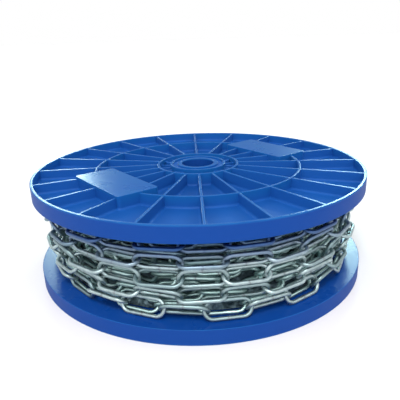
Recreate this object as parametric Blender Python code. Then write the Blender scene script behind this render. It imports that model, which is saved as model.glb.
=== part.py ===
"""A plastic reel lying on one flange, wound full of long-link welded steel chain.

Metres, +Z up. The reel's axis is Z, its lower rim stands on z = 0, and -Y is the front, where the first
rib of each flange lies. Angles round the reel are counted from the front towards +X.
"""

from math import cos, pi, radians, sin

import bmesh
import bpy
from mathutils import Matrix, Vector

# The reel
FLANGE_RADIUS = 0.150
REEL_HEIGHT = 0.092
FLANGE_DEPTH = 0.0132  # height of the rim wall
WEB_THICKNESS = 0.0040  # the disc that closes each flange on the chain's side
RIM_WALL = 0.0028
CROWN = 0.0020  # how far the upper flange's middle bulges past its rim
MIDDLE_RING_RADIUS = 0.0935
DRUM_RING_RADIUS = 0.0383
RIB_WALL = 0.0019
RIB_COUNT = 20
LEVEL_STEP = 0.0003  # rim and hub stand this far above the rings, and the rings above the ribs
RIM_STEPS = 60
RING_STEPS = 40
HUB_STEPS = 24

# The hub
BORE_RADIUS = 0.0148
COLLAR_RADIUS = 0.0187
HUB_RADIUS = 0.0256
HUB_LIP = 0.0020  # wall of the hub's outer edge
HUB_GROOVE = 0.0020  # depth of the groove between collar and edge
HUB_RECESS = 0.0005  # how far its other end lies inside the flat side
BAND_DROP = 0.0040  # how much lower the ribs are between hub and drum ring
BOSS_CIRCLE = 0.0315
BOSS_RADIUS = 0.0064
BOSS_HOLE_RADIUS = 0.0034
BOSS_STEPS = 10
BOSS_RIBS = (-2, 2, 7, -7)  # the ribs that carry a screw boss, counted from the front one

# The two bare label pads, each centred over a rib
PAD_LENGTH = 0.077
PAD_WIDTH = 0.037
PAD_CIRCLE = 0.0870
PAD_RIBS = (-3, 7)

# The drum between the flanges
DRUM_RADIUS = 0.0360
DRUM_WALL = 0.0030
GAP = 0.0003

# The chain
WIRE = 0.0030
LINK_LENGTH = 0.0380
LINK_WIDTH = 0.0164
WOUND_RADIUS = 0.1405  # the outside of the winding
OUTER_LAYER = 0.0175  # depth of the outermost layer
TURNS = 5
LINKS_PER_TURN = 26
FLAT_WIDTH = 0.0124  # what shows of a link that leans over among its neighbours
FLAT_RADIUS = 0.1389
FLAT_TIP = 0.0044  # how far its rounded end reaches past its straight sides
LAYER_FLOOR = 0.1325  # where the spaces between the links end

BLUE = (0.012, 0.100, 0.480, 1.0)
ZINC = (0.560, 0.590, 0.580, 1.0)


def clear_scene():
    for thing in list(bpy.data.objects):
        bpy.data.objects.remove(thing, do_unlink=True)


def material(name, colour, roughness, metallic):
    made = bpy.data.materials.new(name)
    made.use_nodes = True
    shader = made.node_tree.nodes["Principled BSDF"]
    shader.inputs["Base Color"].default_value = colour
    shader.inputs["Roughness"].default_value = roughness
    shader.inputs["Metallic"].default_value = metallic
    return made


def add_object(name, bm, finish):
    mesh = bpy.data.meshes.new(name)
    bmesh.ops.recalc_face_normals(bm, faces=bm.faces)
    bm.to_mesh(mesh)
    bm.free()
    mesh.materials.append(finish)
    made = bpy.data.objects.new(name, mesh)
    bpy.context.scene.collection.objects.link(made)
    return made


def round_point(radius, angle, height):
    """A point at an angle from the front."""
    return Vector((radius * sin(angle), -radius * cos(angle), height))


def turned(bm, profile, steps):
    """A ring turned about Z from a closed outline of (radius, height) points."""
    rows = []
    for k in range(steps):
        angle = 2 * pi * k / steps
        rows.append([bm.verts.new(round_point(r, angle, z)) for r, z in profile])
    for k, row in enumerate(rows):
        following = rows[(k + 1) % steps]
        for i in range(len(profile)):
            j = (i + 1) % len(profile)
            bm.faces.new((row[i], following[i], following[j], row[j]))


def prism(bm, lower, upper):
    """A solid between two outlines of the same number of points."""
    bottom = [bm.verts.new(p) for p in lower]
    top = [bm.verts.new(p) for p in upper]
    bm.faces.new(bottom)
    bm.faces.new(top)
    for i in range(len(bottom)):
        j = (i + 1) % len(bottom)
        bm.faces.new((bottom[i], bottom[j], top[j], top[i]))


def add_guide(name, build, finish):
    """An object that a Boolean reads and that isn't part of the reel."""
    bm = bmesh.new()
    build(bm)
    made = add_object(name, bm, finish)
    made.hide_render = True
    made.display_type = "WIRE"
    return made


def combine(target, other, operation):
    modifier = target.modifiers.new(other.name, "BOOLEAN")
    modifier.operation = operation
    modifier.solver = "EXACT"
    modifier.object = other


# Flanges. Each is drawn with its flat side at height 0 and its ribs going up.


def rib_angle(index):
    return 2 * pi * index / RIB_COUNT


def face_height(radius, crown):
    """Height of the ribbed face, which falls from the drum ring to the rim where the flange is crowned."""
    inner, outer = DRUM_RING_RADIUS, FLANGE_RADIUS - RIM_WALL
    share = (outer - max(radius, inner)) / (outer - inner)
    return FLANGE_DEPTH + crown * share


def add_disc(bm):
    """The web with its rim wall."""
    rim_inner = FLANGE_RADIUS - RIM_WALL
    centre = (BORE_RADIUS + HUB_RADIUS) / 2
    outline = [
        (FLANGE_RADIUS, 0),
        (FLANGE_RADIUS, FLANGE_DEPTH),
        (rim_inner, FLANGE_DEPTH),
        (rim_inner, WEB_THICKNESS),
        (centre, WEB_THICKNESS),
        (centre, 0),
    ]
    turned(bm, outline, RIM_STEPS)


def add_hub(bm, crown):
    """Collar and edge with a shallow groove between, round the bore."""
    top = face_height(0, crown)
    groove = top - HUB_GROOVE
    outline = [
        (HUB_RADIUS, HUB_RECESS),
        (HUB_RADIUS, top),
        (HUB_RADIUS - HUB_LIP, top),
        (HUB_RADIUS - HUB_LIP, groove),
        (COLLAR_RADIUS, groove),
        (COLLAR_RADIUS, top),
        (BORE_RADIUS, top),
        (BORE_RADIUS, HUB_RECESS),
    ]
    turned(bm, outline, HUB_STEPS)


def add_rings(bm, crown):
    for radius in (MIDDLE_RING_RADIUS, DRUM_RING_RADIUS):
        top = face_height(radius, crown) - LEVEL_STEP
        base = WEB_THICKNESS / 2
        outer, inner = radius + RIB_WALL / 2, radius - RIB_WALL / 2
        turned(bm, [(outer, base), (outer, top), (inner, top), (inner, base)], RING_STEPS)


def add_ribs(bm, crown):
    """Straight ribs from the hub out to the rim, lower between the hub and the drum ring."""
    base = WEB_THICKNESS / 2
    start, step, end = HUB_RADIUS - HUB_LIP / 2, DRUM_RING_RADIUS, FLANGE_RADIUS - RIM_WALL / 2
    inner_top = face_height(step, crown) - 2 * LEVEL_STEP
    outline = [
        (end, base),
        (start, base),
        (start, inner_top - BAND_DROP),
        (step, inner_top - BAND_DROP),
        (step, inner_top),
        (end, face_height(end, crown) - 2 * LEVEL_STEP),
    ]
    for index in range(RIB_COUNT):
        turn = Matrix.Rotation(rib_angle(index), 3, "Z")
        sides = [[turn @ Vector((x, -r, z)) for r, z in outline] for x in (-RIB_WALL / 2, RIB_WALL / 2)]
        prism(bm, *sides)


def add_pads(bm, crown):
    """The flat rectangles that rise from the web to the ribs' tops, long side along the rim."""
    top = face_height(0, crown)
    corners = [(-1, -1), (1, -1), (1, 1), (-1, 1)]
    for index in PAD_RIBS:
        turn = Matrix.Rotation(rib_angle(index), 3, "Z")
        outlines = []
        for z in (WEB_THICKNESS / 2, top):
            outlines.append(
                [turn @ Vector((x * PAD_LENGTH / 2, y * PAD_WIDTH / 2 - PAD_CIRCLE, z)) for x, y in corners]
            )
        prism(bm, *outlines)


def add_posts(bm, radius, low, high):
    """A round post at each screw boss."""
    for index in BOSS_RIBS:
        centre = round_point(BOSS_CIRCLE, rib_angle(index), 0)
        ring = []
        for i in range(BOSS_STEPS):
            angle = 2 * pi * (i + 0.5) / BOSS_STEPS
            ring.append(centre + radius * Vector((cos(angle), sin(angle), 0)))
        prism(bm, [p + Vector((0, 0, low)) for p in ring], [p + Vector((0, 0, high)) for p in ring])


def make_flange(name, crown, finish):
    """The flange and the guides that shape it."""
    boss_top = face_height(0, crown) - 3 * LEVEL_STEP
    boss_floor = WEB_THICKNESS + LEVEL_STEP
    steps = [
        ("hub", "UNION", lambda bm: add_hub(bm, crown)),
        ("rings", "UNION", lambda bm: add_rings(bm, crown)),
        ("ribs", "UNION", lambda bm: add_ribs(bm, crown)),
        ("bosses", "UNION", lambda bm: add_posts(bm, BOSS_RADIUS, WEB_THICKNESS / 2, boss_top)),
        ("boss_holes", "DIFFERENCE", lambda bm: add_posts(bm, BOSS_HOLE_RADIUS, boss_floor, 2 * boss_top)),
        ("pads", "UNION", lambda bm: add_pads(bm, crown)),
    ]
    bm = bmesh.new()
    add_disc(bm)
    flange = add_object(name, bm, finish)
    pieces = [flange]
    for suffix, operation, build in steps:
        guide = add_guide(name + "_" + suffix, build, finish)
        combine(flange, guide, operation)
        pieces.append(guide)
    return pieces


def make_flanges(finish):
    for piece in make_flange("lower_flange", 0, finish):
        # This flange is turned over about X, so that its ribs face down.
        piece.rotation_euler = (pi, 0, 0)
        piece.location = (0, 0, FLANGE_DEPTH)
    for piece in make_flange("upper_flange", CROWN, finish):
        piece.location = (0, 0, REEL_HEIGHT - FLANGE_DEPTH)


def between_flanges():
    """Lowest and highest level of what lies between the flanges."""
    return FLANGE_DEPTH + GAP, REEL_HEIGHT - FLANGE_DEPTH - GAP


def make_tube(name, outer, inner, finish):
    """A tube from flange to flange, with one flat side for each link of a turn."""
    low, high = between_flanges()
    bm = bmesh.new()
    turned(bm, [(outer, low), (outer, high), (inner, high), (inner, low)], LINKS_PER_TURN)
    return add_object(name, bm, finish)


# Chain


def wound_point(along, up, radius):
    """A point of the winding. The distance along is measured round its outside, from the front."""
    return round_point(radius, along / WOUND_RADIUS, up)


def add_flat_link(bm, along, up):
    """A link that lies on the layer: a raised loop of wire, pointed where the next links pass through."""
    base = LAYER_FLOOR - WIRE / 2
    tip, side = LINK_LENGTH / 2, FLAT_WIDTH / 2
    shoulder = tip - FLAT_TIP
    upper_half = [(tip, 0), (shoulder, side), (-shoulder, side)]
    outline = upper_half + [(-x, -y) for x, y in upper_half]
    levels = (base, FLAT_RADIUS)
    prism(bm, *[[wound_point(along + x, up + y, radius) for x, y in outline] for radius in levels])


def add_link_opening(bm, along, up):
    """The space inside a flat link."""
    x, y = LINK_LENGTH / 2 - FLAT_TIP - WIRE / 2, FLAT_WIDTH / 2 - WIRE
    outline = [(x, -y), (x, y), (-x, y), (-x, -y)]
    levels = (LAYER_FLOOR, WOUND_RADIUS)
    prism(bm, *[[wound_point(along + x, up + y, radius) for x, y in outline] for radius in levels])


def add_upright_link(bm, along, up):
    """A link that stands on edge: the outer half of its oval, seen as one bar."""
    half, base = LINK_LENGTH / 2, LAYER_FLOOR - WIRE / 2
    shoulder = half - LINK_WIDTH / 4
    outline = [(-half, base), (half, base), (shoulder, WOUND_RADIUS), (-shoulder, WOUND_RADIUS)]
    levels = (up - WIRE / 2, up + WIRE / 2)
    prism(bm, *[[wound_point(along + x, level, radius) for x, radius in outline] for level in levels])


def add_links(bm, add_link, first_of_pair):
    """One shape at every second link of each turn. The bottom turn starts one link further round."""
    low, high = between_flanges()
    first, last = low + FLAT_WIDTH / 2 + GAP, high - FLAT_WIDTH / 2 - GAP
    pitch = 2 * pi * WOUND_RADIUS / LINKS_PER_TURN
    for turn in range(TURNS):
        up = first + (last - first) * turn / (TURNS - 1)
        for k in range((first_of_pair + (turn == 0)) % 2, LINKS_PER_TURN, 2):
            add_link(bm, (k + 0.5) * pitch, up)


def make_outer_layer(finish):
    layer = make_tube("chain_outer_layer", LAYER_FLOOR, WOUND_RADIUS - OUTER_LAYER, finish)
    steps = [
        ("flat_links", "UNION", add_flat_link, 0),
        ("link_openings", "DIFFERENCE", add_link_opening, 0),
        ("upright_links", "UNION", add_upright_link, 1),
    ]
    for name, operation, add_link, first_of_pair in steps:
        guide = add_guide(name, lambda bm: add_links(bm, add_link, first_of_pair), finish)
        combine(layer, guide, operation)


def main():
    clear_scene()
    plastic = material("blue_plastic", BLUE, 0.35, 0.0)
    steel = material("zinc_plated_steel", ZINC, 0.35, 1.0)
    make_flanges(plastic)
    make_tube("drum", DRUM_RADIUS, DRUM_RADIUS - DRUM_WALL, plastic)
    make_tube("chain_inner_layers", WOUND_RADIUS - OUTER_LAYER - GAP, DRUM_RADIUS + GAP, steel)
    make_outer_layer(steel)


main()
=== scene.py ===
import math

import bmesh
import bpy
import numpy as np
from mathutils import Matrix, Vector


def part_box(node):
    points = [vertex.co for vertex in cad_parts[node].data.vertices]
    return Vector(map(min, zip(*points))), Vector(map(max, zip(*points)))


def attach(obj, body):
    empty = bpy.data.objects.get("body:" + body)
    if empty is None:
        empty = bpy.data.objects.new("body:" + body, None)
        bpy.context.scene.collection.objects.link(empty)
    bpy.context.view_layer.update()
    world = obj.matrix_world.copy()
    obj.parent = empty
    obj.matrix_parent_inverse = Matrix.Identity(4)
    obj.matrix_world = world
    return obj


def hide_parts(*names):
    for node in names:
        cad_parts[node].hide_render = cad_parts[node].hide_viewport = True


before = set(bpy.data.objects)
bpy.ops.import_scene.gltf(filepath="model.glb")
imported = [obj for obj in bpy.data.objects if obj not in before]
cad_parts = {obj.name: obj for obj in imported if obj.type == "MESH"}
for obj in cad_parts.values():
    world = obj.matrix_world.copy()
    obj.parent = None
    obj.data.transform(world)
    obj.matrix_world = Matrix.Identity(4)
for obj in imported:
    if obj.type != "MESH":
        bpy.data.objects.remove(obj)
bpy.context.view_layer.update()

# Lengths in the dictionaries are millimetres, those of the floor and the lights metres, and angles
# are degrees. Angles round the reel are counted from the front (-Y) towards +X.
mm = 0.001
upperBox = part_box("upper_flange")
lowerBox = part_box("lower_flange")
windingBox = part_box("chain_outer_layer")
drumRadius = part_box("drum")[1].x / mm


# Meshes

def roundPoint(radius, angle, height=0.0):
    return (radius * math.sin(angle), -radius * math.cos(angle), height)


def makeObject(name, points, faces, material, smoothAngle=35):
    mesh = bpy.data.meshes.new(name)
    mesh.from_pydata(points, [], faces)
    mesh.validate()
    made = bpy.data.objects.new(name, mesh)
    bpy.context.scene.collection.objects.link(made)
    mesh.materials.append(material)
    tidyNormals(made, smoothAngle)
    return made


def tidyNormals(made, smoothAngle):
    bm = bmesh.new()
    bm.from_mesh(made.data)
    bmesh.ops.recalc_face_normals(bm, faces=bm.faces)
    bm.to_mesh(made.data)
    bm.free()
    made.data.shade_smooth()
    made.data.set_sharp_from_angle(angle=math.radians(smoothAngle))


def filleted(corners, steps):
    # corners are (x, y, radius), and each one with a radius becomes an arc
    outline = []
    for k, (x, y, radius) in enumerate(corners):
        here = Vector((x, y))
        if radius == 0:
            outline.append(here)
            continue
        before = Vector(corners[k - 1][:2])
        after = Vector(corners[(k + 1) % len(corners)][:2])
        back, ahead = (before - here).normalized(), (after - here).normalized()
        corner = back.angle(ahead)
        reach = radius / math.tan(corner / 2)
        centre = here + (back + ahead).normalized() * (radius / math.sin(corner / 2))
        first, last = here + back * reach - centre, here + ahead * reach - centre
        turn = first.angle_signed(last)
        for i in range(steps + 1):
            part = Matrix.Rotation(-turn * i / steps, 2) @ first
            outline.append(centre + part)
    return [(p.x, p.y) for p in outline]


def turned(name, outline, steps, material):
    # a closed outline of (radius, height) turned about Z
    count = len(outline)
    points = [roundPoint(r * mm, 2 * math.pi * k / steps, z * mm) for k in range(steps) for r, z in outline]
    faces = []
    for k in range(steps):
        row, following = k * count, (k + 1) % steps * count
        for i in range(count):
            j = (i + 1) % count
            faces.append((row + i, following + i, following + j, row + j))
    return makeObject(name, points, faces, material)


def swept(name, outlines, material):
    # a solid through outlines of the same number of points, with its ends closed
    count = len(outlines[0])
    points = [tuple(Vector(p) * mm) for outline in outlines for p in outline]
    faces = [tuple(range(count)), tuple(range(len(points) - count, len(points)))]
    for k in range(len(outlines) - 1):
        for i in range(count):
            j = (i + 1) % count
            faces.append((k * count + i, k * count + j, (k + 1) * count + j, (k + 1) * count + i))
    return makeObject(name, points, faces, material)


def joinedCopies(name, source, angles, material):
    # one object with a copy of source at each angle about Z
    bm = bmesh.new()
    for angle in angles:
        first = len(bm.verts)
        bm.from_mesh(source.data)
        bm.verts.ensure_lookup_table()
        bmesh.ops.rotate(bm, verts=bm.verts[first:], cent=(0, 0, 0), matrix=Matrix.Rotation(angle, 3, "Z"))
    mesh = bpy.data.meshes.new(name)
    bm.to_mesh(mesh)
    bm.free()
    mesh.materials.append(material)
    made = bpy.data.objects.new(name, mesh)
    bpy.context.scene.collection.objects.link(made)
    bpy.data.objects.remove(source)
    return made


def combine(base, shapes):
    # shapes are (operation, object), and the base's mesh takes the result
    for operation, shape in shapes:
        modifier = base.modifiers.new(shape.name, "BOOLEAN")
        modifier.operation = operation
        modifier.solver = "MANIFOLD"
        modifier.object = shape
    graph = bpy.context.evaluated_depsgraph_get()
    mesh = bpy.data.meshes.new_from_object(base.evaluated_get(graph))
    base.modifiers.clear()
    base.data = mesh
    for operation, shape in shapes:
        bpy.data.objects.remove(shape)


# Materials

noiseSpan = (0.3, 0.7)  # where nearly all values of a noise texture lie


def newMaterial(name):
    material = bpy.data.materials.new(name)
    material.use_nodes = True
    return material, material.node_tree, material.node_tree.nodes["Principled BSDF"]


def feed(tree, socket, value):
    # value is another node's output, or a number or colour that the socket itself holds
    if isinstance(value, bpy.types.NodeSocket):
        tree.links.new(value, socket)
    else:
        socket.default_value = value


def addMark(tree, name):
    # a value that the mesh carries at its points
    mark = tree.nodes.new("ShaderNodeAttribute")
    mark.attribute_name = name
    return mark.outputs["Fac"]


def addNoise(tree, scale, detail=3.0):
    place = tree.nodes.new("ShaderNodeTexCoord")
    noise = tree.nodes.new("ShaderNodeTexNoise")
    noise.inputs["Scale"].default_value = scale
    noise.inputs["Detail"].default_value = detail
    tree.links.new(place.outputs["Object"], noise.inputs["Vector"])
    return noise.outputs["Fac"]


def addRange(tree, source, results, sources=(0.0, 1.0)):
    # the source's values, spread over the results
    spread = tree.nodes.new("ShaderNodeMapRange")
    for side, (low, high) in (("From", sources), ("To", results)):
        spread.inputs[side + " Min"].default_value = low
        spread.inputs[side + " Max"].default_value = high
    tree.links.new(source, spread.inputs["Value"])
    return spread.outputs["Result"]


def addMath(tree, operation, *values):
    worked = tree.nodes.new("ShaderNodeMath")
    worked.operation = operation
    for socket, value in zip(worked.inputs, values):
        feed(tree, socket, value)
    return worked.outputs["Value"]


def addMix(tree, share, first, second):
    mix = tree.nodes.new("ShaderNodeMix")
    mix.data_type = "RGBA"
    for name, value in (("Factor", share), ("A", first), ("B", second)):
        feed(tree, mix.inputs[name], value)
    return mix.outputs["Result"]


def addBump(tree, shader, height, strength, depth):
    bump = tree.nodes.new("ShaderNodeBump")
    bump.inputs["Strength"].default_value = strength
    bump.inputs["Distance"].default_value = depth * mm
    tree.links.new(height, bump.inputs["Height"])
    tree.links.new(bump.outputs["Normal"], shader.inputs["Normal"])


# A larger scale gives finer clouds, patches, smears, stains or grain.
plastic = {
    # deep is the colour of the darker clouds and of the painted shade on the rim wall, bore and chain side
    "deep": (0.0030, 0.046, 0.250, 1),
    "pale": (0.0085, 0.088, 0.350, 1),
    # the painted sheen colour of the tops of ribs, rings, posts and pads and of the rim's edges
    "sheenTint": (0.0065, 0.098, 0.325, 1),
    "cloudScale": 9,
    "cloudPaleness": (0.7, 1.0),
    "patchScale": 70,
    "patchSheen": (0.35, 0.85),
    "smearScale": 40,
    "roughness": (0.24, 0.32),
    "mattness": 0.25,  # more roughness, where the mesh is marked matt
    "grain": 0.06,
    "grainScale": 1800,
    "grainDepth": 0.2,
    "ior": 1.5,
    "specular": 0.12,
}


def mouldedPlastic(name, look):
    material, tree, shader = newMaterial(name)
    # random paler clouds, but painted shade keeps the rim wall, bore and chain side at the deep blue
    clouds = addRange(tree, addNoise(tree, look["cloudScale"]), look["cloudPaleness"], noiseSpan)
    paleness = addMath(tree, "MULTIPLY", addMark(tree, "clearOfPaintedShade"), clouds)
    tint = addMix(tree, paleness, look["deep"], look["pale"])
    # painted sheen on the marked tops and rim edges, in patches
    patches = addRange(tree, addNoise(tree, look["patchScale"]), look["patchSheen"], noiseSpan)
    sheened = addMath(tree, "MULTIPLY", addMark(tree, "paintedSheen"), patches)
    feed(tree, shader.inputs["Base Color"], addMix(tree, sheened, tint, look["sheenTint"]))
    smears = addRange(tree, addNoise(tree, look["smearScale"]), look["roughness"])
    dulled = addMath(tree, "MULTIPLY_ADD", addMark(tree, "matt"), look["mattness"], smears)
    feed(tree, shader.inputs["Roughness"], dulled)
    addBump(tree, shader, addNoise(tree, look["grainScale"], 2), look["grain"], look["grainDepth"])
    shader.inputs["IOR"].default_value = look["ior"]
    shader.inputs["Specular IOR Level"].default_value = look["specular"]
    return material


steel = {
    "bright": (0.45, 0.55, 0.565, 1),
    "dull": (0.205, 0.295, 0.315, 1),
    "weld": (0.22, 0.25, 0.27, 1),
    # painted shade for the rows under the upper flange
    "paintedShade": (0.03, 0.085, 0.25, 1),
    "paintedShadeFrom": (51, 73),  # heights between which links turn to the painted shade colour
    "stainScale": 260,
    "stainShade": (0.5, 1.2),
    "roughness": (0.38, 0.52),
    "grain": 0.04,
    "grainScale": 1400,
    "grainDepth": 0.2,
}
paintedLitSteel = dict(steel)  # the turns below the outermost ones are painted brighter, as painted light in the winding's gaps
paintedLitSteel["bright"] = (0.51, 0.69, 0.68, 1)
paintedLitSteel["dull"] = (0.30, 0.44, 0.43, 1)


def zincPlate(name, look):
    material, tree, shader = newMaterial(name)
    stains = addNoise(tree, look["stainScale"])
    blotched = addMath(
        tree, "MULTIPLY", addMark(tree, "linkShade"), addRange(tree, stains, look["stainShade"], noiseSpan)
    )
    plate = addMix(tree, blotched, look["dull"], look["bright"])
    scorched = addMix(tree, addMark(tree, "weld"), plate, look["weld"])
    # painted shade makes the rows under the upper flange darker and bluer
    place = tree.nodes.new("ShaderNodeTexCoord")
    height = tree.nodes.new("ShaderNodeSeparateXYZ")
    tree.links.new(place.outputs["Object"], height.inputs["Vector"])
    low, high = look["paintedShadeFrom"]
    shade = addRange(tree, height.outputs["Z"], (0, 1), (low * mm, high * mm))
    feed(tree, shader.inputs["Base Color"], addMix(tree, shade, scorched, look["paintedShade"]))
    feed(tree, shader.inputs["Roughness"], addRange(tree, stains, look["roughness"]))
    addBump(tree, shader, addNoise(tree, look["grainScale"], 2), look["grain"], look["grainDepth"])
    shader.inputs["Metallic"].default_value = 1.0
    return material


# dark and light are painted shade of the deep winding and painted lit wires in it
packed = {
    "light": (0.15, 0.22, 0.25, 1),
    "dark": (0.022, 0.042, 0.06, 1),
    "wireScale": 120,
    "contrast": (0.4, 0.7),
    "relief": 1.0,
    "reliefDepth": 4.0,
    "roughness": 0.5,
    "metallic": 0.8,
}


def packedLinks(name, look):
    material, tree, shader = newMaterial(name)
    wires = addNoise(tree, look["wireScale"], 2)
    lit = addRange(tree, wires, (0, 1), look["contrast"])
    feed(tree, shader.inputs["Base Color"], addMix(tree, lit, look["dark"], look["light"]))
    addBump(tree, shader, wires, look["relief"], look["reliefDepth"])
    shader.inputs["Roughness"].default_value = look["roughness"]
    shader.inputs["Metallic"].default_value = look["metallic"]
    return material


# Flanges

# Each flange is made with its chain side at height 0 and its ribs upwards, and then put in its place.
flange = {
    "radius": upperBox[1].x / mm,
    "depth": lowerBox[1].z / mm,
    "rimWall": 2.8,
    "web": 4.0,
    "ribWall": 2.0,
    "ribDraft": 0.25,  # how far each side of a rib leans out towards its foot
    "ribs": 20,
    "middleRing": 93.5,  # radii, down to the hub
    "drumRing": 36.7,
    "bore": 14.8,
    "collar": 18.7,
    "hub": 25.6,
    "hubLip": 2.0,
    "hubGroove": 2.0,
    "bandDrop": 4.0,  # how much lower the ribs between hub and drum ring are
    "bossCircle": 31.5,
    "boss": 6.0,
    "bossHole": 3.8,
    "bossDrop": 2.6,
    "bossRibs": (-2, 2, 7, -7),  # the ribs that they stand on, counted from the front
    "edge": 0.45,
    "rimEdge": 1.4,  # how many times rounder the rim's upper edges are
    "foot": 2.4,
    "footReach": 1.1,
    "bandFoot": 1.0,
    "footSunk": 0.12,
    "ribOverlap": 0.2,
    "sunk": 0.5,  # how deep one form starts inside another that it joins
    "levelStep": 0.3,  # ribs, rings and pads differ so much in height, so that no faces coincide
    # how far the painted sheen reaches from the rim's and the bore's edges
    "edgeSheenBand": 0.9,
    "sheenDepth": 1.0,  # how far down from the top the painted sheen reaches
    "skin": 0.3,  # how near to a face a point counts as on it
    "turnSteps": {"disc": 240, "hub": 120, "ring": 180, "boss": 40},
    "arcSteps": {"disc": 4, "hub": 3, "rib": 5, "foot": 5, "pad": 5},
    "smoothAngle": 38,
    "normalWeight": 80,
}
pad = {
    "length": 77.0,
    "width": 37.0,
    "circle": 87.0,
    "ribs": (-3, 7),
    "corner": 3.0,
    "edge": 0.5,
}


def ribAngle(index):
    return 2 * math.pi * index / flange["ribs"]


def faceHeight(radius, crown):
    inner, outer = flange["drumRing"], flange["radius"] - flange["rimWall"]
    share = (outer - max(radius, inner)) / (outer - inner)
    return flange["depth"] + crown * share


def flangeDisc(name, material):
    radius, depth, web = flange["radius"], flange["depth"], flange["web"]
    inner = radius - flange["rimWall"]
    centre = (flange["bore"] + flange["hub"]) / 2
    sheened = flange["edge"] + flange["edgeSheenBand"]
    corners = [
        (radius, 0, flange["edge"]),
        (radius, sheened, 0),
        (radius, depth - sheened, 0),
        (radius, depth, flange["edge"] * flange["rimEdge"]),
        (inner, depth, flange["edge"] * flange["rimEdge"]),
        (inner, web, flange["foot"]),
        (centre, web, 0),
        (centre, 0, 0),
    ]
    outline = filleted(corners, flange["arcSteps"]["disc"])
    return turned(name, outline, flange["turnSteps"]["disc"], material)


def flangeHub(name, crown, material):
    top = faceHeight(0, crown)
    groove = top - flange["hubGroove"]
    edge = flange["edge"]
    lip = flange["hub"] - flange["hubLip"]
    corners = [
        (flange["hub"], flange["sunk"], 0),
        (flange["hub"], top, edge),
        (lip, top, edge),
        (lip, groove, edge),
        (flange["collar"], groove, edge),
        (flange["collar"], top, edge),
        (flange["bore"], top, edge),
        (flange["bore"], top - edge - flange["edgeSheenBand"], 0),
        (flange["bore"], flange["sunk"], 0),
    ]
    outline = filleted(corners, flange["arcSteps"]["hub"])
    return turned(name, outline, flange["turnSteps"]["hub"], material)


def flangeRing(name, radius, crown, material):
    top = faceHeight(radius, crown) - flange["levelStep"]
    outline = [(radius + x, z) for x, z in ribSection(top)]
    return turned(name, outline, flange["turnSteps"]["ring"], material)


def ribSection(top, foot=None):
    # a rib or ring seen end on, from inside the web up to its rounded top
    foot = foot or flange["foot"]
    half, base, web = flange["ribWall"] / 2, flange["web"] / 2, flange["web"] - flange["footSunk"]
    low = half + flange["ribDraft"]
    reach = low + foot * flange["footReach"]
    corners = [
        (reach, base, 0),
        (reach, web, 0),
        (low, web, foot),
        (half, top, flange["edge"]),
        (-half, top, flange["edge"]),
        (-low, web, foot),
        (-reach, web, 0),
        (-reach, base, 0),
    ]
    return filleted(corners, flange["arcSteps"]["rib"])


def flangeRibs(name, crown, material):
    # low ones from the hub to the drum ring, and from there high ones out to the rim
    start, step = flange["hub"] - flange["hubLip"] / 2, flange["drumRing"]
    end = flange["radius"] - flange["rimWall"] / 2
    low, drop = faceHeight(0, crown) - flange["bandDrop"], 2 * flange["levelStep"]
    outer = [(r, faceHeight(r, crown) - drop) for r in (step - flange["ribOverlap"], end)]
    spans = [([(start, low), (step, low)], flange["bandFoot"]), (outer, flange["foot"])]
    angles = [ribAngle(index) for index in range(flange["ribs"])]
    ribs = []
    for ends, foot in spans:
        outlines = [[(x, -r, z) for x, z in ribSection(top, foot)] for r, top in ends]
        number = str(len(ribs))
        rib = swept(name + number, outlines, material)
        ribs.append(joinedCopies(name + "All" + number, rib, angles, material))
    return ribs


def raised(name, outlineOf, low, top, edge, circle, material, foot=0.0):
    # a block or post on the front rib with its top edge rounded; outlineOf(inset) gives its outline
    levels = [(-foot, low)]
    if foot:
        base = flange["web"] - flange["footSunk"]
        steps = flange["arcSteps"]["foot"]
        arc = [math.pi / 2 * k / steps for k in range(steps + 1)]
        levels += [(foot * (math.sin(a) - 1), base + foot * (1 - math.cos(a))) for a in arc]
    bevel = edge * 0.3
    levels += [(0, top - edge), (bevel, top - bevel), (edge, top)]
    outlines = [[(x, y - circle, z) for x, y in outlineOf(inset)] for inset, z in levels]
    return swept(name, outlines, material)


def flangePads(name, crown, material):
    def outlineOf(inset):
        x, y = pad["length"] / 2 - inset, pad["width"] / 2 - inset
        corners = [(across, along, pad["corner"]) for across, along in ((x, -y), (x, y), (-x, y), (-x, -y))]
        return filleted(corners, flange["arcSteps"]["pad"])

    low, top = flange["web"] / 2, faceHeight(0, crown)
    block = raised(name, outlineOf, low, top, pad["edge"], pad["circle"], material, flange["foot"])
    return joinedCopies(name + "Both", block, map(ribAngle, pad["ribs"]), material)


def bossPosts(name, radius, low, top, material):
    def outlineOf(inset):
        sides = flange["turnSteps"]["boss"]
        angles = [2 * math.pi * k / sides for k in range(sides)]
        return [((radius - inset) * math.cos(a), (radius - inset) * math.sin(a)) for a in angles]

    post = raised(name, outlineOf, low, top, flange["edge"], flange["bossCircle"], material)
    return joinedCopies(name + "All", post, map(ribAngle, flange["bossRibs"]), material)


def markSheenAndShade(made, crown):
    # painted sheen on the tops of ribs, rings, posts and pads, and on the outer edges of the rim;
    # painted shade keeps the rim, bore and chain side at the deeper blue, and only the sheened
    # places and the chain side are glossy
    sheened, clearOfPaintedShade, matt = [], [], []
    skin = flange["skin"]
    for vertex in made.data.vertices:
        radius, height = vertex.co.xy.length / mm, vertex.co.z / mm
        onTop = height > faceHeight(radius, crown) - flange["sheenDepth"]
        onWall = radius > flange["radius"] - skin
        inBore = radius < flange["bore"] + skin and not onTop
        onChainSide = height < skin and not onWall
        sheened.append(1.0 if onTop or (onWall and height < skin) else 0.0)
        clearOfPaintedShade.append(0.0 if onWall or inBore or onChainSide else 1.0)
        matt.append(1.0 if onWall or not (onTop or onChainSide) else 0.0)
    for mark, values in (("paintedSheen", sheened), ("clearOfPaintedShade", clearOfPaintedShade), ("matt", matt)):
        made.data.attributes.new(mark, "FLOAT", "POINT").data.foreach_set("value", values)


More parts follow.
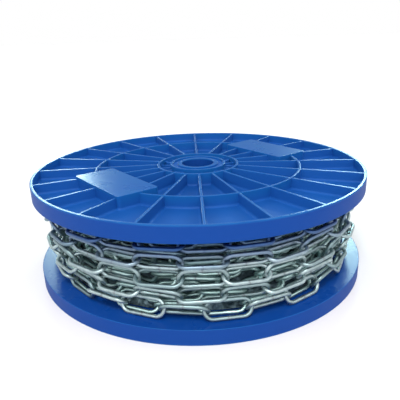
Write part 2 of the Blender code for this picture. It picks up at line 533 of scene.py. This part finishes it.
def makeFlange(name, box, crown, faceUp, material):
    disc = flangeDisc(name, material)
    top = faceHeight(0, crown)
    bossTop, aboveAll = top - flange["bossDrop"], top + flange["depth"]
    holeFloor = flange["web"] + flange["levelStep"]
    shapes = [("UNION", flangeHub(name + "Hub", crown, material))]
    for radius in (flange["middleRing"], flange["drumRing"]):
        shapes.append(("UNION", flangeRing(name + "Ring" + str(int(radius)), radius, crown, material)))
    for rib in flangeRibs(name + "Rib", crown, material):
        shapes.append(("UNION", rib))
    bosses = bossPosts(name + "Boss", flange["boss"], 2 * flange["sunk"], bossTop, material)
    shapes.append(("UNION", bosses))
    holes = bossPosts(name + "BossHole", flange["bossHole"], holeFloor, aboveAll, material)
    shapes.append(("DIFFERENCE", holes))
    shapes.append(("UNION", flangePads(name + "Pad", crown, material)))
    combine(disc, shapes)
    markSheenAndShade(disc, crown)
    if faceUp:
        disc.data.transform(Matrix.Translation((0, 0, box[0].z)))
    else:
        turnOver = Matrix.Rotation(math.pi, 4, "X")
        disc.data.transform(Matrix.Translation((0, 0, box[1].z)) @ turnOver)
    tidyNormals(disc, flange["smoothAngle"])
    weigh = disc.modifiers.new("weigh", "WEIGHTED_NORMAL")
    weigh.keep_sharp = True
    weigh.weight = flange["normalWeight"]
    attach(disc, "root")
    return disc


crownHeight = (upperBox[1].z - upperBox[0].z) / mm - flange["depth"]
flangePlastic = mouldedPlastic("flangePlastic", plastic)

upperFlange = makeFlange("upperFlange", upperBox, crownHeight, True, flangePlastic)
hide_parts("upper_flange")
lowerFlange = makeFlange("lowerFlange", lowerBox, 0, False, flangePlastic)
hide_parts("lower_flange")
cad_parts["drum"].data.materials.clear()
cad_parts["drum"].data.materials.append(flangePlastic)
print("flanges made:", [len(made.data.polygons) for made in (upperFlange, lowerFlange)], "faces")


# Chain

chain = {
    "wire": 3.1,
    "length": 38.0,
    "width": 16.2,
    "pitch": 32.0,
    # along half the lower leg: place, thickness against the wire's, and how scorched it is
    "weld": ((0.0, 0.94, 1.0), (0.5, 1.05, 0.5), (1.2, 1.05, 0.2), (2.2, 1.0, 0.0)),
    # the outermost turns from the lowest up, each as it passes the front: phase is how far round the
    # middle of one link lies, lean how far it is turned about its own length and out how far outwards
    # it is set; every other link has the next values, and the lowest turn bulges at the front
    "rows": {
        "height": (7.8, 21.0, 32.7, 45.7, 58.6),
        "radius": (134.4, 136.2, 135.8, 135.8, 135.6),
        "phase": (6.2, -0.7, -0.7, -0.7, -0.7),
        "lean": (-3, -72, -66, -82, -84),
        "nextLean": (-140, -150, -157, -152, -148),
        "out": (2, 0, 0, 0, 0),
        "nextOut": (-2, 0, 0, 0, 0),
        "bulge": 5.0,
        "bulgeWidth": 38,
    },
    "radiusChange": 0.8,  # the share of a turn in which one row goes over to the next
    "heightChange": 0.2,
    "leanChange": 0.5,
    "layers": 3,
    "layerPitch": 9.8,
    "innerHeights": (4.0, 58.0),
    "innerRows": 6,
    "innerLean": (-45, 10),  # middle and spread
    "innerPhase": (0, 12),
    "leanSpread": 8,
    "leanWander": 5,
    "wanderKept": 0.8,
    "radiusSpread": 0.5,
    "heightSpread": 0.3,
    "routeSteps": 400,
    "outerFineness": (10, 16),  # steps round a link's end, and round its wire
    "nextFineness": (7, 8),
    "core": 104.0,
    "coreFoot": ((126, 0), (124, 3), (112, 14), (104, 26)),  # radius and height of the flared foot
    "coreSteps": 96,
    "coreGap": 0.3,
    "seed": 7,
}
settling = {
    "steps": 200,
    "linkPoints": 48,
    "play": 0.12,  # how far apart wires that meet are pushed
    "pairsEvery": 4,  # steps from one search for wires that meet to the next
    "pairMargin": 1.2,
    "push": 1.6,
    "crowding": 0.75,  # the more wires a link meets, the less each one moves it
    "hangSlack": 0.25,
    "hangPull": 0.6,
    "flangeGap": 0.15,
    "outside": 142.5,  # beyond this radius wires are drawn back gently
    "outsidePull": 0.05,
    "farthest": 146.0,  # and beyond this one fully
    "wallTurn": 0.5,
    "inwardPull": 0.006,
    "sinking": 0.01,
    "easedBy": 0.7,  # the share of the steps after which nothing is drawn inwards or down
    "longestMove": 1.0,
    "widestTurn": 0.08,  # radians
}


def linkLegs():
    # along the middle of a link's wire: the radius of its ends, half a leg's straight part, and
    # the way from the middle of one leg to the middle of the other
    bend = (chain["width"] - chain["wire"]) / 2
    straight = (chain["length"] - chain["wire"]) / 2 - bend
    return bend, straight, 2 * straight + math.pi * bend


def linkPlace(distance):
    # a point on the middle of a link's wire, so far along it from the middle of the lower leg
    bend, straight, halfWay = linkLegs()
    halves, rest = divmod(distance, halfWay)
    sign = 1 if halves % 2 == 0 else -1
    if rest < straight:
        x, y = rest, -bend
    elif rest < straight + math.pi * bend:
        angle = (rest - straight) / bend
        x, y = straight + bend * math.sin(angle), -bend * math.cos(angle)
    else:
        x, y = halfWay - rest, bend
    return (sign * x, sign * y, 0.0)


def linkLine(count):
    halfWay = linkLegs()[2]
    return np.array([linkPlace(2 * halfWay * k / count) for k in range(count)])


def turnsOf(vectors):
    # rotation matrices for a stack of rotation vectors
    angle = np.linalg.norm(vectors, axis=1)
    nearZero = 1e-12
    x, y, z = (vectors / np.maximum(angle, nearZero)[:, None]).T
    zero = np.zeros_like(x)
    cross = np.stack([zero, -z, y, z, zero, -x, -y, x, zero], axis=1).reshape(-1, 3, 3)
    sine, cosine = np.sin(angle)[:, None, None], np.cos(angle)[:, None, None]
    return np.eye(3) + sine * cross + (1 - cosine) * (cross @ cross)


def pointsNear(points, reach):
    # pairs of points closer than reach, found through a grid of cells of that size
    cell = np.floor(points / reach).astype(np.int64)
    cell -= cell.min(axis=0) - 1
    size = cell.max(axis=0) + 2
    key = (cell[:, 0] * size[1] + cell[:, 1]) * size[2] + cell[:, 2]
    order = np.argsort(key, kind="stable")
    sortedKey = key[order]
    steps = (-1, 0, 1)
    around = [(x, y, z) for x in steps for y in steps for z in steps]
    firsts, seconds = [], []
    for x, y, z in around[around.index((0, 0, 0)):]:  # each pair of cells once
        other = key + (x * size[1] + y) * size[2] + z
        start = np.searchsorted(sortedKey, other, "left")
        count = np.searchsorted(sortedKey, other, "right") - start
        first = np.repeat(np.arange(len(points)), count)
        within = np.arange(count.sum()) - np.repeat(np.cumsum(count) - count, count)
        second = order[np.repeat(start, count) + within]
        if (x, y, z) == (0, 0, 0):
            once = first < second
            first, second = first[once], second[once]
        firsts.append(first)
        seconds.append(second)
    first, second = np.concatenate(firsts), np.concatenate(seconds)
    close = np.sum((points[first] - points[second]) ** 2, axis=1) < reach * reach
    return first[close], second[close]


def blend(values, turn, spread):
    # a row's value up to the back of the reel, and there over to the next row's
    values, row = np.array(values, float), np.floor(turn)
    part = np.clip((turn - row - 0.5) / spread + 0.5, 0, 1)
    near = values[np.clip(row, 0, len(values) - 1).astype(int)]
    far = values[np.clip(row + 1, 0, len(values) - 1).astype(int)]
    return near + (far - near) * part * part * (3 - 2 * part)


def windLayer(rows, rng):
    # one length of chain from the bottom row up, with a link of each row at its phase from the front
    count, pitch = len(rows["height"]), chain["pitch"]
    fronts = [2 * math.pi * row + math.radians(rows["phase"][row]) for row in range(count)]
    angles = np.linspace(fronts[0] - math.pi, fronts[-1] + math.pi, chain["routeSteps"] * count)
    knots = [fronts[0] - 2 * math.pi] + fronts + [fronts[-1] + 2 * math.pi]
    turn = np.interp(angles, knots, np.arange(-1, count + 1))
    bulge = rows["bulge"] * np.exp(-(turn * 360 / rows["bulgeWidth"]) ** 2)
    radius = blend(rows["radius"], turn, chain["radiusChange"]) + bulge
    arc = np.concatenate([[0], np.cumsum(np.diff(angles) * (radius[1:] + radius[:-1]) / 2)])
    frontArcs = np.interp(fronts, angles, arc)
    before = int(frontArcs[0] / pitch)
    places = [frontArcs[0] - pitch * np.arange(before, 0, -1)]
    for near, far in zip(frontArcs, frontArcs[1:]):
        places.append(np.linspace(near, far, round((far - near) / pitch), endpoint=False))
    places.append(np.arange(frontArcs[-1], arc[-1], pitch))
    places = np.concatenate(places)
    even = (np.arange(len(places)) - before) % 2 == 0
    angle, turn, radius = (np.interp(places, arc, values) for values in (angles, turn, radius))
    height = lowerBox[1].z / mm + blend(rows["height"], turn, chain["heightChange"])
    height += rng.normal(0, chain["heightSpread"], len(places))
    out, nextOut, lean, nextLean = (
        blend(rows[name], turn, chain["leanChange"]) for name in ("out", "nextOut", "lean", "nextLean")
    )
    radius += np.where(even, out, nextOut)
    radius += rng.normal(0, chain["radiusSpread"], len(places))
    drift = rng.normal(0, chain["leanWander"], len(places))
    for k in range(1, len(places)):
        drift[k] += chain["wanderKept"] * drift[k - 1]
    lean = np.where(even, lean, nextLean)
    lean = np.radians(lean + drift + rng.normal(0, chain["leanSpread"], len(places)))
    flip = np.where(rng.random(len(places)) < 0.5, 1, -1)[:, None]  # the weld is in either leg
    zero, one = np.zeros_like(angle), np.ones_like(angle)
    outward = np.stack([np.sin(angle), -np.cos(angle), zero], axis=1)
    along = np.stack([np.cos(angle), np.sin(angle), zero], axis=1)
    up = np.stack([zero, zero, one], axis=1)
    side = np.cos(lean)[:, None] * up + np.sin(lean)[:, None] * outward
    centres = outward * radius[:, None] + up * height[:, None]
    return centres, np.stack([flip * along, flip * side, np.cross(along, side)], axis=2)


def startWinding(rng):
    # every layer neatly wound, from the outside in
    centres, turns, layerEnds = [], [], []
    for layer in range(chain["layers"]):
        rows = dict(chain["rows"])
        if layer > 0:
            count = chain["innerRows"]
            leans = rng.normal(*chain["innerLean"], count)
            rows["height"] = np.linspace(*chain["innerHeights"], count)
            rows["radius"] = np.full(count, np.mean(rows["radius"]) - layer * chain["layerPitch"])
            rows["phase"] = rng.uniform(*chain["innerPhase"], count)
            rows["lean"], rows["nextLean"] = leans, leans - 90
            rows["out"] = rows["nextOut"] = [0] * count
        layerCentres, layerTurns = windLayer(rows, rng)
        centres.append(layerCentres)
        turns.append(layerTurns)
        layerEnds.append(sum(len(part) for part in centres))
    return np.concatenate(centres), np.concatenate(turns), layerEnds


def settleWinding(centres, turns, layerEnds):
    # links push apart where their wires meet, hang in each other and are drawn inwards
    count, samples = len(centres), settling["linkPoints"]
    line = linkLine(samples)
    owner = np.repeat(np.arange(count), samples)
    spread = (line ** 2).sum(axis=0) / samples
    inertia = np.array([spread[1], spread[0], spread[0] + spread[1]])
    linked = np.setdiff1d(np.arange(count), np.array(layerEnds) - 1)
    following = linked + 1
    hook = chain["length"] / 2 - chain["wire"]
    floorLevel = lowerBox[1].z / mm + chain["wire"] / 2 + settling["flangeGap"]
    ceiling = upperBox[0].z / mm - chain["wire"] / 2 - settling["flangeGap"]
    coreRadius = chain["core"] + chain["wire"] / 2
    touch = chain["wire"] + settling["play"]
    nearZero, felt = 1e-9, 1e-6

    def lever(links, arms, directions):
        # how easily a push at the end of an arm turns the link, and which way
        torque = np.einsum("kji,kj->ki", turns[links], np.cross(arms, directions))
        ease = 1 + (torque ** 2 / inertia).sum(axis=1)
        return ease, np.einsum("kij,kj->ki", turns[links], torque / inertia)

    def gather(links, values):
        return np.stack([np.bincount(links, values[:, axis], count) for axis in range(3)], axis=1)

    def pushApart(points, first, second):
        offset = points[first] - points[second]
        distance = np.sqrt((offset ** 2).sum(axis=1)) + nearZero
        hit = distance < touch
        a, b = owner[first[hit]], owner[second[hit]]
        direction = offset[hit] / distance[hit, None]
        easeA, turnA = lever(a, points[first[hit]] - centres[a], direction)
        easeB, turnB = lever(b, points[second[hit]] - centres[b], direction)
        push = ((touch - distance[hit]) / (easeA + easeB))[:, None]
        met = np.bincount(a, minlength=count) + np.bincount(b, minlength=count)
        share = np.minimum(settling["push"] / np.maximum(met, 1) ** settling["crowding"], 1)[:, None]
        move = (gather(a, push * direction) - gather(b, push * direction)) * share
        turn = (gather(a, push * turnA) - gather(b, push * turnB)) * share
        return move, turn, (touch - distance[hit]).max()

    def hangTogether():
        toNext = centres[following] - centres[linked]
        sideA = np.sign((turns[linked, :, 0] * toNext).sum(axis=1))[:, None] * hook
        sideB = np.sign((turns[following, :, 0] * toNext).sum(axis=1))[:, None] * hook
        reachA = turns[linked, :, 0] * sideA
        reachB = -turns[following, :, 0] * sideB
        gap = centres[following] + reachB - centres[linked] - reachA
        slack = np.linalg.norm(gap, axis=1) + nearZero
        direction = gap / slack[:, None]
        easeA, turnA = lever(linked, reachA, direction)
        easeB, turnB = lever(following, reachB, direction)
        pull = settling["hangPull"] * np.maximum(slack - settling["hangSlack"], 0)
        pull = (pull / (easeA + easeB))[:, None]
        move = gather(linked, pull * direction) - gather(following, pull * direction)
        return move, gather(linked, pull * turnA) - gather(following, pull * turnB)

    def keepInside(wires):
        # between the flanges, outside the core and short of the flanges' rims
        radius = np.hypot(wires[:, :, 0], wires[:, :, 1])
        outward = wires * (1, 1, 0) / radius[:, :, None]
        wall = outward * (
            np.maximum(coreRadius - radius, 0)
            - np.maximum(radius - settling["farthest"], 0)
            - settling["outsidePull"] * np.maximum(radius - settling["outside"], 0)
        )[:, :, None]
        height = wires[:, :, 2]
        wall[:, :, 2] += np.maximum(floorLevel - height, 0) - np.maximum(height - ceiling, 0)
        touched = 1 / np.maximum((np.abs(wall).sum(axis=2) > felt).sum(axis=1), 1)[:, None]
        torque = np.cross(wires - centres[:, None], wall).sum(axis=1)
        torque = np.einsum("kij,kj->ki", turns, np.einsum("kji,kj->ki", turns, torque) / inertia)
        return wall.sum(axis=1) * touched, settling["wallTurn"] * torque * touched

    def limited(vectors, longest):
        length = np.linalg.norm(vectors, axis=1)
        return vectors * np.minimum(1, longest / np.maximum(length, nearZero))[:, None]

    for step in range(settling["steps"]):
        wires = np.einsum("mij,sj->msi", turns, line) + centres[:, None]
        points = wires.reshape(-1, 3)
        if step % settling["pairsEvery"] == 0:
            first, second = pointsNear(points, touch + settling["pairMargin"])
            apart = owner[first] != owner[second]
            first, second = first[apart], second[apart]
        move, turn, deepest = pushApart(points, first, second)
        for moreMove, moreTurn in (hangTogether(), keepInside(wires)):
            move += moreMove
            turn += moreTurn
        ease = max(0.0, 1 - step / (settling["easedBy"] * settling["steps"]))
        inward = centres * (1, 1, 0)
        move -= settling["inwardPull"] * ease * inward / np.linalg.norm(inward, axis=1)[:, None]
        move[:, 2] -= settling["sinking"] * ease
        centres = centres + limited(move, settling["longestMove"])
        turns = turnsOf(limited(turn, settling["widestTurn"])) @ turns
    cut = round(deepest - settling["play"], 2)
    print("winding settled:", count, "links, wires cut into each other by", cut, "mm at most")
    return centres, turns


def linkShape(fineness):
    # a link's wire as rings of points, with its faces; the weld is in the middle of the lower leg
    bendSteps, around = fineness
    bend, straight, halfWay = linkLegs()
    arc = [straight + math.pi * bend * k / bendSteps for k in range(bendSteps + 1)]
    places = list(chain["weld"])
    places += [(s, 1.0, 0.0) for s in arc] + [(halfWay + s, 1.0, 0.0) for s in arc]
    places += [(2 * halfWay - s, size, mark) for s, size, mark in chain["weld"][:0:-1]]
    line = np.array([linkPlace(s) for s, size, mark in places])
    near = 0.01
    beyond = np.array([linkPlace(s + near) for s, size, mark in places])
    ahead = beyond - np.array([linkPlace(s - near + 2 * halfWay) for s, size, mark in places])
    ahead /= np.linalg.norm(ahead, axis=1)[:, None]
    up = np.array((0.0, 0.0, 1.0))
    side = np.cross(ahead, up)
    angles = 2 * math.pi * np.arange(around) / around
    radius = np.array([size for s, size, mark in places])[:, None, None] * chain["wire"] / 2
    rings = line[:, None] + radius * (
        np.cos(angles)[None, :, None] * side[:, None] + np.sin(angles)[None, :, None] * up
    )
    faces = []
    for k in range(len(places)):
        row, following = k * around, (k + 1) % len(places) * around
        for i in range(around):
            j = (i + 1) % around
            faces.append((row + i, row + j, following + j, following + i))
    marks = np.repeat([mark for s, size, mark in places], around)
    return rings.reshape(-1, 3), np.array(faces), marks


def chainPiece(name, centres, turns, fineness, material, rng):
    shape, faces, marks = linkShape(fineness)
    count = len(centres)
    points = (np.einsum("mij,sj->msi", turns, shape) + centres[:, None]).reshape(-1, 3) * mm
    everyFace = (faces[None] + (np.arange(count) * len(shape))[:, None, None]).reshape(-1, 4)
    mesh = bpy.data.meshes.new(name)
    mesh.from_pydata(points.tolist(), [], everyFace.tolist())
    shade = mesh.attributes.new("linkShade", "FLOAT", "POINT")
    shade.data.foreach_set("value", np.repeat(rng.uniform(0, 1, count), len(shape)).astype(np.float32))
    weld = mesh.attributes.new("weld", "FLOAT", "POINT")
    weld.data.foreach_set("value", np.tile(marks, count).astype(np.float32))
    mesh.shade_smooth()
    mesh.materials.append(material)
    piece = bpy.data.objects.new(name, mesh)
    bpy.context.scene.collection.objects.link(piece)
    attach(piece, "root")
    return piece


rng = np.random.default_rng(chain["seed"])
centres, turns, layerEnds = startWinding(rng)
centres, turns = settleWinding(centres, turns, layerEnds)
outer, inner = slice(layerEnds[0]), slice(layerEnds[0], None)
plate = zincPlate("chainSteel", steel)
outerTurns = chainPiece("chainOuterTurns", centres[outer], turns[outer], chain["outerFineness"], plate, rng)
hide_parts("chain_outer_layer")
# the inner turns' steel is painted brighter, as painted light in the winding's gaps
plate = zincPlate("paintedLitSteel", paintedLitSteel)
chainPiece("chainNextTurns", centres[inner], turns[inner], chain["nextFineness"], plate, rng)


# the turns that nothing shows are one ring of packed links round the drum, darkened as painted shade of the
# deep winding
packedChain = packedLinks("packedChain", packed)
coreLow, coreHigh = windingBox[0].z / mm, windingBox[1].z / mm
coreOutline = [(radius, coreLow + rise) for radius, rise in chain["coreFoot"]]
coreInside = drumRadius + chain["coreGap"]
coreOutline += [(chain["core"], coreHigh), (coreInside, coreHigh), (coreInside, coreLow)]
chainCore = turned("chainCore", coreOutline, chain["coreSteps"], packedChain)
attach(chainCore, "root")
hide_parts("chain_inner_layers")
print("chain made:", len(centres), "links and their core")


# Floor, light and camera

floor = {
    "size": 40.0,
    "colour": (0.80, 0.78, 0.79, 1),
    "roughness": 0.8,
    # far from the reel it fades to the white of the backdrop
    "fade": (0.5, 2.0),
    "fadeLight": 0.45,
}
lights = {
    "backLeft": {"place": (-0.73, 1.825, 0.835), "size": 0.34, "power": 3.8, "colour": (0.60, 0.97, 1.0)},
    "backRight": {"place": (0.807, 1.825, 0.835), "size": 0.32, "power": 11.5, "colour": (0.60, 0.97, 1.0)},
    "padLeft": {"place": (-0.64, 1.83, 0.616), "size": 0.22, "power": 4.2, "colour": (0.74, 1.0, 0.92)},
    "front": {"place": (-0.15, -1.1, 1.7), "size": 0.5, "power": 24.5, "colour": (1.0, 1.0, 0.96)},
}
lightsAim = (0, 0, 0.05)  # inside the reel
sky = {
    # brightness at each sine of the height above the horizon, behind, beside and before the reel
    "heights": (0.03, 0.15, 0.33, 0.53, 0.77),
    "back": (1.2, 0.1, 0.15, 1.05, 0.5),
    "side": (1.2, 0.4, 0.5, 2.8, 0.5),
    "front": (1.2, 0.1, 3.0, 2.0, 0.5),
}
white = (1, 1, 1, 1)


def makeFloor():
    half = floor["size"] / 2
    corners = [(-half, -half, 0), (half, -half, 0), (half, half, 0), (-half, half, 0)]
    mesh = bpy.data.meshes.new("floor")
    mesh.from_pydata(corners, [], [(0, 1, 2, 3)])
    made = bpy.data.objects.new("floor", mesh)
    bpy.context.scene.collection.objects.link(made)
    material, tree, shader = newMaterial("paleFloor")
    shader.inputs["Base Color"].default_value = floor["colour"]
    shader.inputs["Roughness"].default_value = floor["roughness"]
    place = tree.nodes.new("ShaderNodeTexCoord")
    away = tree.nodes.new("ShaderNodeVectorMath")
    away.operation = "LENGTH"
    tree.links.new(place.outputs["Object"], away.inputs[0])
    fade = addRange(tree, away.outputs["Value"], (0, floor["fadeLight"]), floor["fade"])
    feed(tree, shader.inputs["Emission Strength"], fade)
    shader.inputs["Emission Color"].default_value = white
    mesh.materials.append(material)


def makeLights():
    for name, light in lights.items():
        data = bpy.data.lights.new(name, "AREA")
        data.size = light["size"]
        data.energy = light["power"]
        data.color = light["colour"]
        made = bpy.data.objects.new(name, data)
        made.location = light["place"]
        made.rotation_euler = (Vector(lightsAim) - made.location).to_track_quat("-Z", "Y").to_euler()
        bpy.context.scene.collection.objects.link(made)


def makeSky():
    world = bpy.data.worlds.new("studio")
    world.use_nodes = True
    tree = world.node_tree
    place = tree.nodes.new("ShaderNodeTexCoord")
    direction = tree.nodes.new("ShaderNodeSeparateXYZ")
    tree.links.new(place.outputs["Generated"], direction.inputs["Vector"])
    x, y, z = (direction.outputs[axis] for axis in "XYZ")

    def skyBand(side):
        ramp = tree.nodes.new("ShaderNodeValToRGB")
        stops = ramp.color_ramp.elements
        while len(stops) < len(sky["heights"]):
            stops.new(0.5)
        for stop, height, brightness in zip(stops, sky["heights"], sky[side]):
            stop.position = height
            stop.color = (brightness, brightness, brightness, 1)
        tree.links.new(z, ramp.inputs["Fac"])
        return ramp.outputs["Color"]

    ySquare = addMath(tree, "MULTIPLY", y, y)
    level = addMath(tree, "ADD", ySquare, addMath(tree, "MULTIPLY", x, x))
    lengthways = addMath(tree, "DIVIDE", ySquare, level)
    behind = addMath(tree, "GREATER_THAN", y, 0.0)
    frontOrBack = addMix(tree, behind, skyBand("front"), skyBand("back"))
    lit = tree.nodes["Background"]
    feed(tree, lit.inputs["Color"], addMix(tree, lengthways, skyBand("side"), frontOrBack))
    lit.inputs["Strength"].default_value = 1.0
    # the sky itself looks plain white
    plain = tree.nodes.new("ShaderNodeBackground")
    plain.inputs["Color"].default_value = white
    seen = tree.nodes.new("ShaderNodeLightPath")
    either = tree.nodes.new("ShaderNodeMixShader")
    tree.links.new(seen.outputs["Is Camera Ray"], either.inputs["Fac"])
    tree.links.new(lit.outputs["Background"], either.inputs[1])
    tree.links.new(plain.outputs["Background"], either.inputs[2])
    tree.links.new(either.outputs["Shader"], tree.nodes["World Output"].inputs["Surface"])
    bpy.context.scene.world = world


view = {
    "distance": 453.4,
    "elevation": 20.54,
    "azimuth": -1.2,
    "roll": 1.8,
    "focalPixels": 467.0,
    "pictureWidth": 400,
    "aimPixel": (199.3, 210.35),  # where the middle of the reel lies in the picture
    "sensor": 36,
    "clipStart": 10,
}


def makeCamera():
    data = bpy.data.cameras.new("camera")
    camera = bpy.data.objects.new("camera", data)
    bpy.context.scene.collection.objects.link(camera)
    middle = Vector((0, 0, (lowerBox[0].z + upperBox[0].z + flange["depth"] * mm) / 2))
    level = math.radians(view["elevation"])
    side = Vector(roundPoint(math.cos(level), math.radians(view["azimuth"]), math.sin(level)))
    camera.location = middle + side * view["distance"] * mm
    aim = (-side).to_track_quat("-Z", "Y").to_matrix()
    camera.rotation_euler = (aim @ Matrix.Rotation(-math.radians(view["roll"]), 3, "Z")).to_euler()
    data.sensor_width = view["sensor"]
    data.lens = view["focalPixels"] / view["pictureWidth"] * data.sensor_width
    data.shift_x = (view["pictureWidth"] / 2 - view["aimPixel"][0]) / view["pictureWidth"]
    data.shift_y = (view["aimPixel"][1] - view["pictureWidth"] / 2) / view["pictureWidth"]
    data.clip_start = view["clipStart"] * mm
    bpy.context.scene.camera = camera


makeFloor()
makeLights()
makeSky()
makeCamera()
bpy.context.scene.view_settings.view_transform = "Standard"
print("floor, light and camera made")
